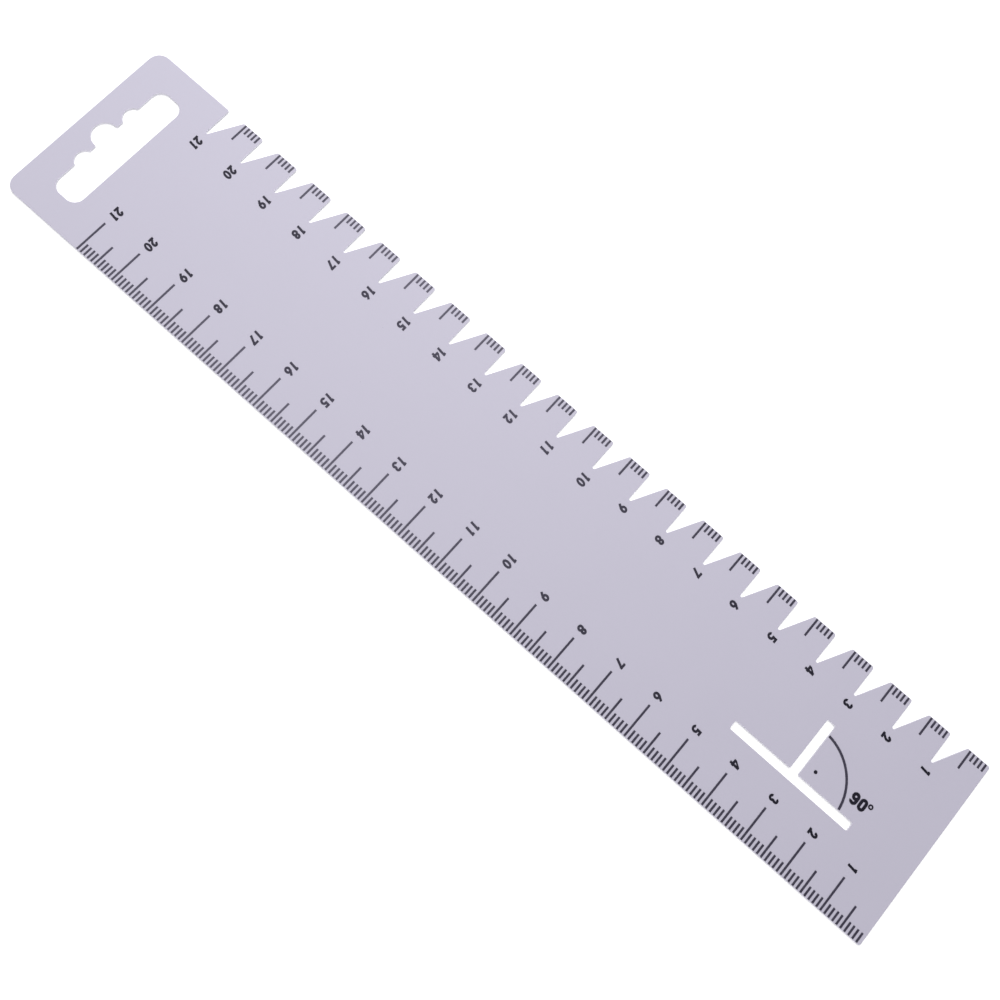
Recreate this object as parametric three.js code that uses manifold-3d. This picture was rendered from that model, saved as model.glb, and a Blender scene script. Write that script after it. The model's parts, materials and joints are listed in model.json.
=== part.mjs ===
// Seam allowance ruler: one flat plastic sheet with a toothed edge, a hand slot, a T slot and a scale.
//
// It lies with its printed face up. +X points to the zero end of the scale, +Y to the toothed edge and +Z out
// of the printed face. The origin is under the middle of the sheet, on the face that it rests on.
// All sizes are in millimetres.

import * as THREE from "three";
import { mergeVertices } from "three/addons/utils/BufferGeometryUtils.js";
import Module from "manifold-3d";

const wasm = await Module();
wasm.setup();

// The sheet.
const CENTIMETRE = 10;
const SCALE_CENTIMETRES = 21;
const SHEET_WIDTH = 45;
const SHEET_THICKNESS = 0.6;
const HANDLE_CORNER_RADIUS = 3;
const ZERO_CORNER_RADIUS = 0.5;

// The notches, one for each centimetre. A notch has one wall square to the edge, just past its mark, and one
// slanted wall. The slanted wall leaves a small ledge beside the half-centimetre line on the tooth.
const NOTCH_SLANT = THREE.MathUtils.degToRad(28.2);
const NOTCH_TIP_RADIUS = 0.3;
const NOTCH_PAST_MARK = 0.1;
const TOOTH_LEDGE = 0.73;
const TOOTH_CORNER_RADIUS = 0.5;

// The hand slot, with three finger scallops in the wall that is nearer to the end.
const HAND_SLOT_WIDTH = 7;
const HAND_SLOT_END_MARGIN = 7;
const HAND_SLOT_SCALE_MARGIN = 7.15;
const HAND_SLOT_SIDE_MARGIN = 6.55;
const HAND_SLOT_CORNER_RADIUS = 2.5;
const SCALLOP_PITCH = 7;
const MIDDLE_SCALLOP_RADIUS = 3;
const MIDDLE_SCALLOP_DEPTH = 3.45;
const SIDE_SCALLOP_RADIUS = 2.3;
const SIDE_SCALLOP_DEPTH = 1.5;
const SCALLOP_EDGE_RADIUS = 0.5;

// The T slot, which marks a right angle.
const TEE_FROM_ZERO = 30;
const TEE_FROM_EDGE = 15.45;
const TEE_BAR_LENGTH = 30;
const TEE_HEIGHT = 14.7;
const TEE_SLOT_WIDTH = 2;
const TEE_CORNER_RADIUS = 0.35;

// The print.
const INK_THICKNESS = 0.05;
const INK_EDGE_CLEARANCE = 0.15;
const LINE_WIDTH = 0.46;
const CENTIMETRE_LINE_LENGTH = 8.05;
const NOTCH_LINE_LENGTH = 4.45;
const ARC_BELOW_STEM_END = 2.34;
const ARC_LINE_WIDTH = 0.52;
const DOT_RADIUS = 0.39;
const DOT_REACH = 0.45;
const DOT_DIRECTION = THREE.MathUtils.degToRad(48.7);
const ANGLE_DIGIT_HEIGHT = 2.72;
const ANGLE_DIGIT_WIDTH = 1.72;
const ANGLE_DIGIT_STROKE = 0.65;
const ANGLE_DIGIT_SPACING = 0.23;
const ANGLE_DIGIT_RISE = 2.72;
const ANGLE_DIGIT_ARC_CLEARANCE = 1.2;
const NINE_BOWL_HEIGHT = 1.78;
const NINE_HOOK_HEIGHT = 0.74;
const DEGREE_RING_RADIUS = 0.56;
const DEGREE_RING_STROKE = 0.32;
const DEGREE_RING_SPACING = 0.08;

// Round stretches are cut into chords that stay this close to the true curve.
const ARC_SAG = 0.01;
const CUTTER_OVERRUN = 1;

// Values that follow from the sizes above.
const SCALE_LENGTH = SCALE_CENTIMETRES * CENTIMETRE;
const HANDLE_LENGTH = HAND_SLOT_END_MARGIN + HAND_SLOT_WIDTH + HAND_SLOT_SCALE_MARGIN;
const SHEET_LENGTH = SCALE_LENGTH + HANDLE_LENGTH;
const ZERO_X = SHEET_LENGTH / 2;
const END_X = -SHEET_LENGTH / 2;
const STRAIGHT_EDGE_Y = -SHEET_WIDTH / 2;
const TOOTHED_EDGE_Y = SHEET_WIDTH / 2;
const TEE_X = ZERO_X - TEE_FROM_ZERO;
const TEE_BOTTOM_Y = STRAIGHT_EDGE_Y + TEE_FROM_EDGE;
const TEE_BAR_TOP_Y = TEE_BOTTOM_Y + TEE_SLOT_WIDTH;
const TEE_CENTRE_Y = TEE_BOTTOM_Y + TEE_SLOT_WIDTH / 2;
const STEM_RIGHT_X = TEE_X + TEE_SLOT_WIDTH / 2;
const ARC_RADIUS = TEE_HEIGHT - TEE_SLOT_WIDTH / 2 - ARC_BELOW_STEM_END;
const NOTCH_MOUTH = CENTIMETRE / 2 + NOTCH_PAST_MARK - TOOTH_LEDGE;

const sheetMaterial = new THREE.MeshStandardMaterial({ color: 0xc6c3d3, roughness: 0.42, metalness: 0 });
const inkMaterial = new THREE.MeshStandardMaterial({ color: 0x1c1b26, roughness: 0.5, metalness: 0 });

// Points along an arc. It runs counter-clockwise where the end angle is the larger one.
function arcPoints(centreX, centreY, radius, startAngle, endAngle) {
  const largestStep = 2 * Math.acos(1 - Math.min(ARC_SAG / radius, 0.5));
  const steps = Math.max(2, Math.ceil(Math.abs(endAngle - startAngle) / largestStep));
  const points = [];
  for (let step = 0; step <= steps; step += 1) {
    const angle = startAngle + ((endAngle - startAngle) * step) / steps;
    points.push(new THREE.Vector2(centreX + radius * Math.cos(angle), centreY + radius * Math.sin(angle)));
  }
  return points;
}

// An outline of straight runs whose corners are rounded. Each corner is { x, y, radius }.
function roundedOutline(corners) {
  const points = [];
  corners.forEach((corner, index) => {
    const here = new THREE.Vector2(corner.x, corner.y);
    const before = corners[(index + corners.length - 1) % corners.length];
    const after = corners[(index + 1) % corners.length];
    const towardsBefore = new THREE.Vector2(before.x, before.y).sub(here).normalize();
    const towardsAfter = new THREE.Vector2(after.x, after.y).sub(here).normalize();
    const halfAngle = Math.acos(towardsBefore.dot(towardsAfter)) / 2;
    const middle = towardsBefore.clone().add(towardsAfter).normalize();
    const centre = here.clone().addScaledVector(middle, corner.radius / Math.sin(halfAngle));
    const run = corner.radius / Math.tan(halfAngle);
    const start = here.clone().addScaledVector(towardsBefore, run).sub(centre);
    const end = here.clone().addScaledVector(towardsAfter, run).sub(centre);
    const turn = Math.atan2(start.cross(end), start.dot(end));
    const startAngle = start.angle();
    points.push(...arcPoints(centre.x, centre.y, corner.radius, startAngle, startAngle + turn));
  });
  return points;
}

function circlePoints(radius) {
  return arcPoints(0, 0, radius, 0, 2 * Math.PI).slice(0, -1);
}

// An upright oval with straight sides and half-round ends, around x = 0, from bottom to top.
function ovalPoints(width, bottom, top) {
  const radius = width / 2;
  return [
    ...arcPoints(0, top - radius, radius, 0, Math.PI),
    ...arcPoints(0, bottom + radius, radius, Math.PI, 2 * Math.PI),
  ];
}

function extruded(outline, holes, thickness) {
  const shape = new THREE.Shape(outline);
  shape.holes = holes.map((points) => new THREE.Path(points));
  return new THREE.ExtrudeGeometry(shape, { depth: thickness, bevelEnabled: false });
}

// Solids for joining and cutting.
function toSolid(geometry) {
  const bare = geometry.clone();
  bare.deleteAttribute("normal");
  bare.deleteAttribute("uv");
  const merged = mergeVertices(bare);
  return new wasm.Manifold(new wasm.Mesh({
    numProp: 3,
    vertProperties: Float32Array.from(merged.attributes.position.array),
    triVerts: Uint32Array.from(merged.index.array),
  }));
}

function toGeometry(solid) {
  const mesh = solid.getMesh();
  const geometry = new THREE.BufferGeometry();
  geometry.setAttribute("position", new THREE.BufferAttribute(Float32Array.from(mesh.vertProperties), 3));
  geometry.setIndex(new THREE.BufferAttribute(Uint32Array.from(mesh.triVerts), 1));
  geometry.computeVertexNormals();
  return geometry;
}

// The sheet's outline, counter-clockwise from the zero end of the straight edge.
function sheetOutline() {
  const pointY = TOOTHED_EDGE_Y - NOTCH_MOUTH / Math.tan(NOTCH_SLANT);
  const corners = [
    { x: ZERO_X, y: STRAIGHT_EDGE_Y, radius: ZERO_CORNER_RADIUS },
    { x: ZERO_X, y: TOOTHED_EDGE_Y, radius: ZERO_CORNER_RADIUS },
  ];
  for (let mark = 1; mark <= SCALE_CENTIMETRES; mark += 1) {
    const squareWallX = ZERO_X - mark * CENTIMETRE - NOTCH_PAST_MARK;
    corners.push({ x: squareWallX + NOTCH_MOUTH, y: TOOTHED_EDGE_Y, radius: TOOTH_CORNER_RADIUS });
    corners.push({ x: squareWallX, y: pointY, radius: NOTCH_TIP_RADIUS });
    corners.push({ x: squareWallX, y: TOOTHED_EDGE_Y, radius: TOOTH_CORNER_RADIUS });
  }
  corners.push({ x: END_X, y: TOOTHED_EDGE_Y, radius: HANDLE_CORNER_RADIUS });
  corners.push({ x: END_X, y: STRAIGHT_EDGE_Y, radius: HANDLE_CORNER_RADIUS });
  return roundedOutline(corners);
}

// One scallop, from its upper to its lower end on the slot's wall, with both ends eased into the wall.
function scallopPoints(wallX, centreY, radius, depth) {
  const centreX = wallX - depth + radius;
  const edgeCentreX = wallX - SCALLOP_EDGE_RADIUS;
  const reach = Math.sqrt((radius + SCALLOP_EDGE_RADIUS) ** 2 - (edgeCentreX - centreX) ** 2);
  const lean = Math.atan2(reach, edgeCentreX - centreX);
  return [
    ...arcPoints(edgeCentreX, centreY + reach, SCALLOP_EDGE_RADIUS, 0, lean - Math.PI),
    ...arcPoints(centreX, centreY, radius, lean, 2 * Math.PI - lean).slice(1, -1),
    ...arcPoints(edgeCentreX, centreY - reach, SCALLOP_EDGE_RADIUS, Math.PI - lean, 0),
  ];
}

function handSlotOutline() {
  const wallX = END_X + HAND_SLOT_END_MARGIN;
  const farX = wallX + HAND_SLOT_WIDTH;
  const top = SHEET_WIDTH / 2 - HAND_SLOT_SIDE_MARGIN;
  const r = HAND_SLOT_CORNER_RADIUS;
  return [
    ...arcPoints(farX - r, r - top, r, -Math.PI / 2, 0),
    ...arcPoints(farX - r, top - r, r, 0, Math.PI / 2),
    ...arcPoints(wallX + r, top - r, r, Math.PI / 2, Math.PI),
    ...scallopPoints(wallX, SCALLOP_PITCH, SIDE_SCALLOP_RADIUS, SIDE_SCALLOP_DEPTH),
    ...scallopPoints(wallX, 0, MIDDLE_SCALLOP_RADIUS, MIDDLE_SCALLOP_DEPTH),
    ...scallopPoints(wallX, -SCALLOP_PITCH, SIDE_SCALLOP_RADIUS, SIDE_SCALLOP_DEPTH),
    ...arcPoints(wallX + r, r - top, r, Math.PI, 1.5 * Math.PI),
  ];
}

function teeSlotOutline() {
  const leftX = TEE_X - TEE_BAR_LENGTH / 2;
  const rightX = TEE_X + TEE_BAR_LENGTH / 2;
  const stemLeftX = TEE_X - TEE_SLOT_WIDTH / 2;
  const topY = TEE_BOTTOM_Y + TEE_HEIGHT;
  const corners = [
    [leftX, TEE_BOTTOM_Y], [rightX, TEE_BOTTOM_Y], [rightX, TEE_BAR_TOP_Y], [STEM_RIGHT_X, TEE_BAR_TOP_Y],
    [STEM_RIGHT_X, topY], [stemLeftX, topY], [stemLeftX, TEE_BAR_TOP_Y], [leftX, TEE_BAR_TOP_Y],
  ];
  return roundedOutline(corners.map(([x, y]) => ({ x, y, radius: TEE_CORNER_RADIUS })));
}

// A printed mark lies on the sheet's upper face.
function addPrint(group, name, geometry, x, y) {
  const mark = new THREE.Mesh(geometry, inkMaterial);
  mark.name = name;
  mark.position.set(x, y, SHEET_THICKNESS);
  group.add(mark);
}

function lineGeometry(length) {
  return new THREE.BoxGeometry(LINE_WIDTH, length, INK_THICKNESS).translate(0, 0, INK_THICKNESS / 2);
}

// The long lines: one at each centimetre of the straight edge and one on each tooth.
function addLines(group) {
  const edgeLineY = STRAIGHT_EDGE_Y + INK_EDGE_CLEARANCE + CENTIMETRE_LINE_LENGTH / 2;
  const toothLineY = TOOTHED_EDGE_Y - INK_EDGE_CLEARANCE - NOTCH_LINE_LENGTH / 2;
  for (let mark = 1; mark <= SCALE_CENTIMETRES; mark += 1) {
    const number = String(mark).padStart(2, "0");
    const markX = ZERO_X - mark * CENTIMETRE;
    addPrint(group, `centimetre_line_${number}`, lineGeometry(CENTIMETRE_LINE_LENGTH), markX, edgeLineY);
    const toothX = markX + CENTIMETRE / 2;
    addPrint(group, `notch_line_${number}`, lineGeometry(NOTCH_LINE_LENGTH), toothX, toothLineY);
  }
}

// The quarter circle between the two arms of the T slot, centred where the arms cross.
function rightAngleArc() {
  const inner = ARC_RADIUS - ARC_LINE_WIDTH / 2;
  const outer = ARC_RADIUS + ARC_LINE_WIDTH / 2;
  const armReach = TEE_SLOT_WIDTH / 2 + INK_EDGE_CLEARANCE;
  const start = Math.asin(armReach / inner);
  const end = Math.PI / 2 - start;
  const outline = [...arcPoints(0, 0, outer, start, end), ...arcPoints(0, 0, inner, end, start)];
  return extruded(outline, [], INK_THICKNESS);
}

// A ring with straight sides, drawn with one width of stroke.
function ovalRing(bottom, top) {
  const outline = ovalPoints(ANGLE_DIGIT_WIDTH, bottom, top);
  const counterWidth = ANGLE_DIGIT_WIDTH - 2 * ANGLE_DIGIT_STROKE;
  const counter = ovalPoints(counterWidth, bottom + ANGLE_DIGIT_STROKE, top - ANGLE_DIGIT_STROKE);
  return extruded(outline, [counter], INK_THICKNESS);
}

// The nine is the zero with its left side cut away above the hook, and a bowl joined on at the top.
function nineGeometry() {
  const zero = toSolid(ovalRing(0, ANGLE_DIGIT_HEIGHT));
  const bowl = toSolid(ovalRing(ANGLE_DIGIT_HEIGHT - NINE_BOWL_HEIGHT, ANGLE_DIGIT_HEIGHT));
  const cutWidth = ANGLE_DIGIT_WIDTH / 2 + CUTTER_OVERRUN;
  const cutHeight = ANGLE_DIGIT_HEIGHT - NINE_HOOK_HEIGHT + CUTTER_OVERRUN;
  const cutter = new THREE.BoxGeometry(cutWidth, cutHeight, INK_THICKNESS + 2 * CUTTER_OVERRUN);
  cutter.translate(-cutWidth / 2, NINE_HOOK_HEIGHT + cutHeight / 2, INK_THICKNESS / 2);
  return toGeometry(zero.subtract(toSolid(cutter)).add(bowl));
}

function degreeRing() {
  const hole = circlePoints(DEGREE_RING_RADIUS - DEGREE_RING_STROKE);
  return extruded(circlePoints(DEGREE_RING_RADIUS), [hole], INK_THICKNESS);
}

// The right-angle mark: the arc, the dot inside it, and its figures beside it.
function addRightAngleMark(group) {
  const dotX = TEE_X + DOT_REACH * ARC_RADIUS * Math.cos(DOT_DIRECTION);
  const dotY = TEE_CENTRE_Y + DOT_REACH * ARC_RADIUS * Math.sin(DOT_DIRECTION);
  const baseY = TEE_BAR_TOP_Y + ANGLE_DIGIT_RISE;
  const middleUp = baseY + ANGLE_DIGIT_HEIGHT / 2 - TEE_CENTRE_Y;
  const arcX = TEE_X + Math.sqrt((ARC_RADIUS + ARC_LINE_WIDTH / 2) ** 2 - middleUp ** 2);
  const nineX = arcX + ANGLE_DIGIT_ARC_CLEARANCE + ANGLE_DIGIT_WIDTH / 2;
  const zeroX = nineX + ANGLE_DIGIT_WIDTH + ANGLE_DIGIT_SPACING;
  const ringX = zeroX + ANGLE_DIGIT_WIDTH / 2 + DEGREE_RING_SPACING + DEGREE_RING_RADIUS;
  const ringY = baseY + ANGLE_DIGIT_HEIGHT - DEGREE_RING_RADIUS;
  addPrint(group, "right_angle_arc", rightAngleArc(), TEE_X, TEE_CENTRE_Y);
  addPrint(group, "right_angle_dot", extruded(circlePoints(DOT_RADIUS), [], INK_THICKNESS), dotX, dotY);
  addPrint(group, "angle_figure_nine", nineGeometry(), nineX, baseY);
  addPrint(group, "angle_figure_zero", ovalRing(0, ANGLE_DIGIT_HEIGHT), zeroX, baseY);
  addPrint(group, "degree_ring", degreeRing(), ringX, ringY);
}

function addSheet(group) {
  const geometry = extruded(sheetOutline(), [handSlotOutline(), teeSlotOutline()], SHEET_THICKNESS);
  const sheet = new THREE.Mesh(geometry, sheetMaterial);
  sheet.name = "ruler_sheet";
  group.add(sheet);
}

const ruler = new THREE.Group();
addSheet(ruler);
addLines(ruler);
addRightAngleMark(ruler);

export default ruler;
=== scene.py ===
"""Looks of the seam allowance ruler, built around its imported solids.

The ruler lies with its printed face up. +X points to the zero end of the scale, +Y to the toothed edge
and +Z out of the printed face. Everything is in metres, in the frame of the solids, and a size of the
ruler is written as its millimetres times MM.
"""

import json
import logging
import math
from dataclasses import dataclass
from enum import Enum
from typing import Any

import bmesh
import bpy
from mathutils import Matrix, Vector
from mathutils.geometry import delaunay_2d_cdt

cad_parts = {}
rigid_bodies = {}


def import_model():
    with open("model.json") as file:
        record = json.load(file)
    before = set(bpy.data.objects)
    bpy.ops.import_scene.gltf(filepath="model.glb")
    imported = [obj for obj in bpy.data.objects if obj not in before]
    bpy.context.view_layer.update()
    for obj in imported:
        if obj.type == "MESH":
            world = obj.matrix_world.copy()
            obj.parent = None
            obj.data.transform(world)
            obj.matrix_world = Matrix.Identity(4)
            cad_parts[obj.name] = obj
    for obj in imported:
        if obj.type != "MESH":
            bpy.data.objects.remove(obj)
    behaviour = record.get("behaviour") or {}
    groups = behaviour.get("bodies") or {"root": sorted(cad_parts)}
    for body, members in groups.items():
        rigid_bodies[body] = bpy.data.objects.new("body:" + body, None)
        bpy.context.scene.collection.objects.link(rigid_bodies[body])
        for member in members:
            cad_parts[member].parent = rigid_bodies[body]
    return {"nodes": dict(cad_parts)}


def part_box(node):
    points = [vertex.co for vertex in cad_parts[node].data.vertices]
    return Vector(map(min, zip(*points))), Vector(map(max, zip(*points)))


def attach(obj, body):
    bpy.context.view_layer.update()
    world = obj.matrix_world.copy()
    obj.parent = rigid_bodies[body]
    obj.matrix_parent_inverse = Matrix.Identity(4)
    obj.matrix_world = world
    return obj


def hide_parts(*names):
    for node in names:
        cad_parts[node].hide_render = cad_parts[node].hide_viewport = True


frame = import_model()

MM = 0.001
CENTIMETRE = 10 * MM
SCALE_CENTIMETRES = 21
ROOT_BODY = "root"
SHEET_NODE = "ruler_sheet"
ARC_NODE = "right_angle_arc"
WELD_DISTANCE = 0.001 * MM
ARC_SAG = 0.002 * MM
QUARTER_TURN = math.pi / 2
DIGIT_COUNT = 10
MOST_DIGITS = 2

# What the frame gives: the corners of the sheet and the thickness of the ink.
SHEET_LOW, SHEET_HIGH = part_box(SHEET_NODE)
ARC_LOW, ARC_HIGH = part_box(ARC_NODE)
INK_THICKNESS = ARC_HIGH.z - ARC_LOW.z

Pair = tuple[float, float]
Place = tuple[float, float, float]
Shade = tuple[int, int, int]
Outline = list[Vector]
Material = bpy.types.Material
Piece = bpy.types.Object
Socket = bpy.types.NodeSocket

log = logging.getLogger("ruler")


class Slot(Enum):
    """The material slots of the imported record."""

    SHEET = "sheet"
    INK = "ink"


class Edge(Enum):
    """The two long edges that carry a scale."""

    STRAIGHT = "straight"
    TOOTHED = "toothed"


def add_object(name: str, data: bpy.types.ID) -> Piece:
    """Puts a new object into the scene.

    Args:
        name: The name of the object.
        data: Its mesh, curve, camera or light.

    Returns:
        The object.
    """
    added = bpy.data.objects.new(name, data)
    bpy.context.scene.collection.objects.link(added)
    return added


def aimed(place: Place, aim: Place, roll: float = 0.0) -> Matrix:
    """Turns a camera or a lamp so that it looks at a point.

    Args:
        place: Where it is.
        aim: The point that it looks at.
        roll: How far it is turned about its line of sight, in radians.

    Returns:
        The matrix of its place and turn.
    """
    turn = (Vector(place) - Vector(aim)).to_track_quat("Z", "Y").to_matrix().to_4x4()
    return Matrix.Translation(place) @ turn @ Matrix.Rotation(roll, 4, "Z")


def linear_colour(shade: Shade) -> tuple[float, ...]:
    """Turns a display colour, from 0 to 255, into a shader's linear colour with alpha, by the sRGB curve."""
    channels = (channel / 255 for channel in shade)
    return (*(c / 12.92 if c <= 0.04045 else ((c + 0.055) / 1.055) ** 2.4 for c in channels), 1.0)


def output_of(node: bpy.types.Node, identifier: str) -> Socket:
    """Finds a node's output by its identifier."""
    return next(socket for socket in node.outputs if socket.identifier == identifier)


class TreeWriter:
    """Adds nodes to one node tree and joins their sockets."""

    def __init__(self, tree: bpy.types.NodeTree) -> None:
        """Keeps the tree that the nodes go into."""
        self.tree = tree

    def feed(self, socket: Socket, value: Any) -> None:
        """Joins another node's output to a socket, or writes a plain value into it.

        Args:
            socket: The input socket.
            value: An output socket, or a plain value.
        """
        if isinstance(value, Socket):
            self.tree.links.new(value, socket)
        else:
            socket.default_value = value

    def add(self, kind: str, inputs: dict[str, Any] | None = None, **settings: Any) -> bpy.types.Node:
        """Adds one node.

        Args:
            kind: The type name of the node.
            inputs: What goes into its sockets, by socket identifier.
            settings: The node's own properties, which are set before its sockets are filled.

        Returns:
            The new node.
        """
        node = self.tree.nodes.new(kind)
        for name, value in settings.items():
            setattr(node, name, value)
        sockets = {socket.identifier: socket for socket in node.inputs}
        for identifier, value in (inputs or {}).items():
            self.feed(sockets[identifier], value)
        return node

    def result(self, kind: str, inputs: dict[str, Any] | None = None, **settings: Any) -> Socket:
        """Adds one node and gives its first output."""
        return self.add(kind, inputs, **settings).outputs[0]

    def calculate(self, operation: str, first: Any, *others: Any) -> Socket:
        """Adds a Math node, with as many numbers as its operation takes, and gives its result."""
        inputs = {"Value": first, **dict(zip(("Value_001", "Value_002"), others))}
        return self.result("ShaderNodeMath", inputs, operation=operation)

    def negative(self, number: Any) -> Socket:
        """Turns the sign of a number."""
        return self.calculate("MULTIPLY", number, -1.0)

    def point(self, x: Any, y: Any, z: Any = 0.0) -> Socket:
        """Makes one vector of its numbers."""
        return self.result("ShaderNodeCombineXYZ", {"X": x, "Y": y, "Z": z})


class SizedTree(TreeWriter):
    """A Geometry Nodes tree whose sizes are named inputs. It makes one piece, which has the tree's name."""

    def __init__(self, name: str) -> None:
        """Starts an empty tree with one mesh output.

        Args:
            name: What the tree makes.
        """
        super().__init__(bpy.data.node_groups.new(name, "GeometryNodeTree"))
        self.tree.interface.new_socket(name="Mesh", in_out="OUTPUT", socket_type="NodeSocketGeometry")
        self.values: dict[str, Any] = {}

    def entry(self, name: str, value: Any) -> Socket:
        """Adds a named input and notes the value that the modifier gives it.

        Args:
            name: The input's name.
            value: The value for the modifier. Its type, such as float or Material, names the input's type.

        Returns:
            The socket that carries the value inside the tree.
        """
        kind = f"NodeSocket{type(value).__name__.capitalize()}"
        item = self.tree.interface.new_socket(name=name, in_out="INPUT", socket_type=kind)
        self.values[item.identifier] = value
        return output_of(self.add("NodeGroupInput"), item.identifier)

    def sizes(self, named: dict[str, float]) -> dict[str, Socket]:
        """Adds one input for each named number and gives their sockets by name."""
        return {name: self.entry(name, value) for name, value in named.items()}

    def whole(self, operation: str, first: Any, second: Any) -> Socket:
        """Adds an Integer Math node and gives its result."""
        inputs = {"Value": first, "Value_001": second}
        return self.result("FunctionNodeIntegerMath", inputs, operation=operation)

    def at_least(self, number: Any, limit: int) -> Socket:
        """Gives 1 where a whole number has reached a limit, and 0 below it."""
        return self.calculate("GREATER_THAN", number, limit - 0.5)

    def index(self) -> Socket:
        """Gives the number of each point, from 0."""
        return self.result("GeometryNodeInputIndex")

    def pick(self, index: Any, choices: list[Any], data_type: str = "FLOAT") -> Socket:
        """Picks one of several values by a whole number.

        Args:
            index: The number of the choice, from 0.
            choices: The values.
            data_type: What the values are.

        Returns:
            The picked value.
        """
        node = self.add("GeometryNodeIndexSwitch", data_type=data_type)
        while len(node.index_switch_items) < len(choices):
            node.index_switch_items.new()
        for socket, value in zip(node.inputs, [index, *choices]):
            self.feed(socket, value)
        return node.outputs[0]

    def pick_place(self, index: Any, places: list[tuple[Any, Any]]) -> Socket:
        """Picks one of several flat places, each given as its x and y, by a whole number."""
        return self.pick(index, [self.point(x, y) for x, y in places], "VECTOR")

    def outline(self, corners: Any, place: Any, radius: Any, steps: Any, closed: bool) -> Socket:
        """Draws one line through points that a rule gives, and rounds its corners.

        Args:
            corners: How many corners there are.
            place: The field of their places.
            radius: The field of their radii.
            steps: How many points round a corner.
            closed: Whether the line closes on itself.

        Returns:
            The curve.
        """
        points = self.result("GeometryNodePoints", {"Count": corners, "Position": place})
        line = self.result("GeometryNodePointsToCurves", {"Points": points})
        ended = self.result("GeometryNodeSetSplineCyclic", {"Geometry": line, "Cyclic": closed})
        inputs = {"Curve": ended, "Count": steps, "Radius": radius, "Limit Radius": False}
        return self.result("GeometryNodeFilletCurve", inputs, mode="POLY")

    def sweep(self, line: Any, profile: Any, caps: bool) -> Socket:
        """Runs a profile along a flat line. The profile's x is to the right of the line and its y is up.

        Args:
            line: The curve that is followed.
            profile: The curve that is swept.
            caps: Whether the ends are closed.

        Returns:
            The mesh.
        """
        level = self.result("GeometryNodeSetCurveNormal", {"Curve": line}, mode="Z_UP")
        upright = self.result("GeometryNodeTransform", {"Geometry": profile, "Scale": (1, -1, 1)})
        inputs = {"Curve": level, "Profile Curve": upright, "Fill Caps": caps}
        return self.result("GeometryNodeCurveToMesh", inputs)

    def raised(self, geometry: Any, height: Any) -> Socket:
        """Lifts a whole geometry."""
        inputs = {"Geometry": geometry, "Translation": self.point(0.0, 0.0, height)}
        return self.result("GeometryNodeTransform", inputs)

    def joined(self, *parts: Any) -> Socket:
        """Joins several geometries into one.

        Args:
            parts: The geometries.

        Returns:
            The joined geometry.
        """
        node = self.add("GeometryNodeJoinGeometry")
        for part in parts:
            self.feed(node.inputs[0], part)
        return node.outputs[0]

    def make_piece(self, geometry: Any, material: Material, slot: Slot, *solids: str) -> Piece:
        """Ends the tree with real geometry in one material, and keeps its result as a plain closed mesh.

        Args:
            geometry: What the tree has made.
            material: The finish of all its faces.
            slot: The record's material slot of the finish. It is not used.
            solids: The names of the solids that the piece stands for, if there are any.

        Returns:
            The piece, which rides on the root body and has no modifier left.
        """
        real = self.result("GeometryNodeRealizeInstances", {"Geometry": geometry})
        finish = self.entry("Finish", material)
        dressed = self.result("GeometryNodeSetMaterial", {"Geometry": real, "Material": finish})
        self.feed(self.add("NodeGroupOutput").inputs[0], dressed)
        name = self.tree.name
        piece = add_object(name, bpy.data.meshes.new(name))
        modifier = piece.modifiers.new(name, "NODES")
        modifier.node_group = self.tree
        for identifier, value in self.values.items():
            modifier[identifier] = value
        graph = bpy.context.evaluated_depsgraph_get()
        mesh = bpy.data.meshes.new_from_object(piece.evaluated_get(graph), depsgraph=graph)
        piece.modifiers.remove(modifier)
        piece.data = mesh
        mesh.name = name
        close_mesh(mesh)
        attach(piece, ROOT_BODY)
        if solids:
            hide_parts(*solids)
        return piece


def close_mesh(mesh: bpy.types.Mesh) -> None:
    """Welds doubled points and turns the faces outwards.

    Args:
        mesh: The mesh, which has to be closed after the weld.

    Raises:
        ValueError: If an edge is left with a face on one side alone.
    """
    work = bmesh.new()
    work.from_mesh(mesh)
    bmesh.ops.remove_doubles(work, verts=work.verts, dist=WELD_DISTANCE)
    bmesh.ops.recalc_face_normals(work, faces=work.faces)
    open_edges = sum(1 for edge in work.edges if not edge.is_manifold)
    work.to_mesh(mesh)
    work.free()
    if open_edges:
        raise ValueError(f"{mesh.name} has {open_edges} open edges")


def arc_points(centre: Vector, radius: float, start: float, end: float) -> Outline:
    """Gives points along an arc.

    Args:
        centre: The centre of the arc.
        radius: Its radius.
        start: The angle of its first point, in radians.
        end: The angle of its last point. The arc runs counter-clockwise where this is the larger one.

    Returns:
        The points, with chords that stay within ARC_SAG of the arc.
    """
    largest_step = 2 * math.acos(1 - min(ARC_SAG / radius, 0.5))
    steps = max(2, math.ceil(abs(end - start) / largest_step))
    angles = (start + (end - start) * step / steps for step in range(steps + 1))
    return [centre + radius * Vector((math.cos(angle), math.sin(angle))) for angle in angles]


def rounded_outline(corners: Outline, radius: float) -> Outline:
    """Draws a closed outline of straight runs with one radius at all its corners.

    Args:
        corners: The sharp corners in order.
        radius: The radius of each corner.

    Returns:
        The points of the outline.
    """
    points: Outline = []
    for number, corner in enumerate(corners):
        to_last = (corners[number - 1] - corner).normalized()
        to_next = (corners[(number + 1) % len(corners)] - corner).normalized()
        half_angle = to_last.angle(to_next) / 2
        centre = corner + (to_last + to_next).normalized() * radius / math.sin(half_angle)
        run = radius / math.tan(half_angle)
        start = corner + to_last * run - centre
        end = corner + to_next * run - centre
        turn = math.atan2(start.cross(end), start.dot(end))
        first = math.atan2(start.y, start.x)
        points += arc_points(centre, radius, first, first + turn)
    return points


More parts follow.
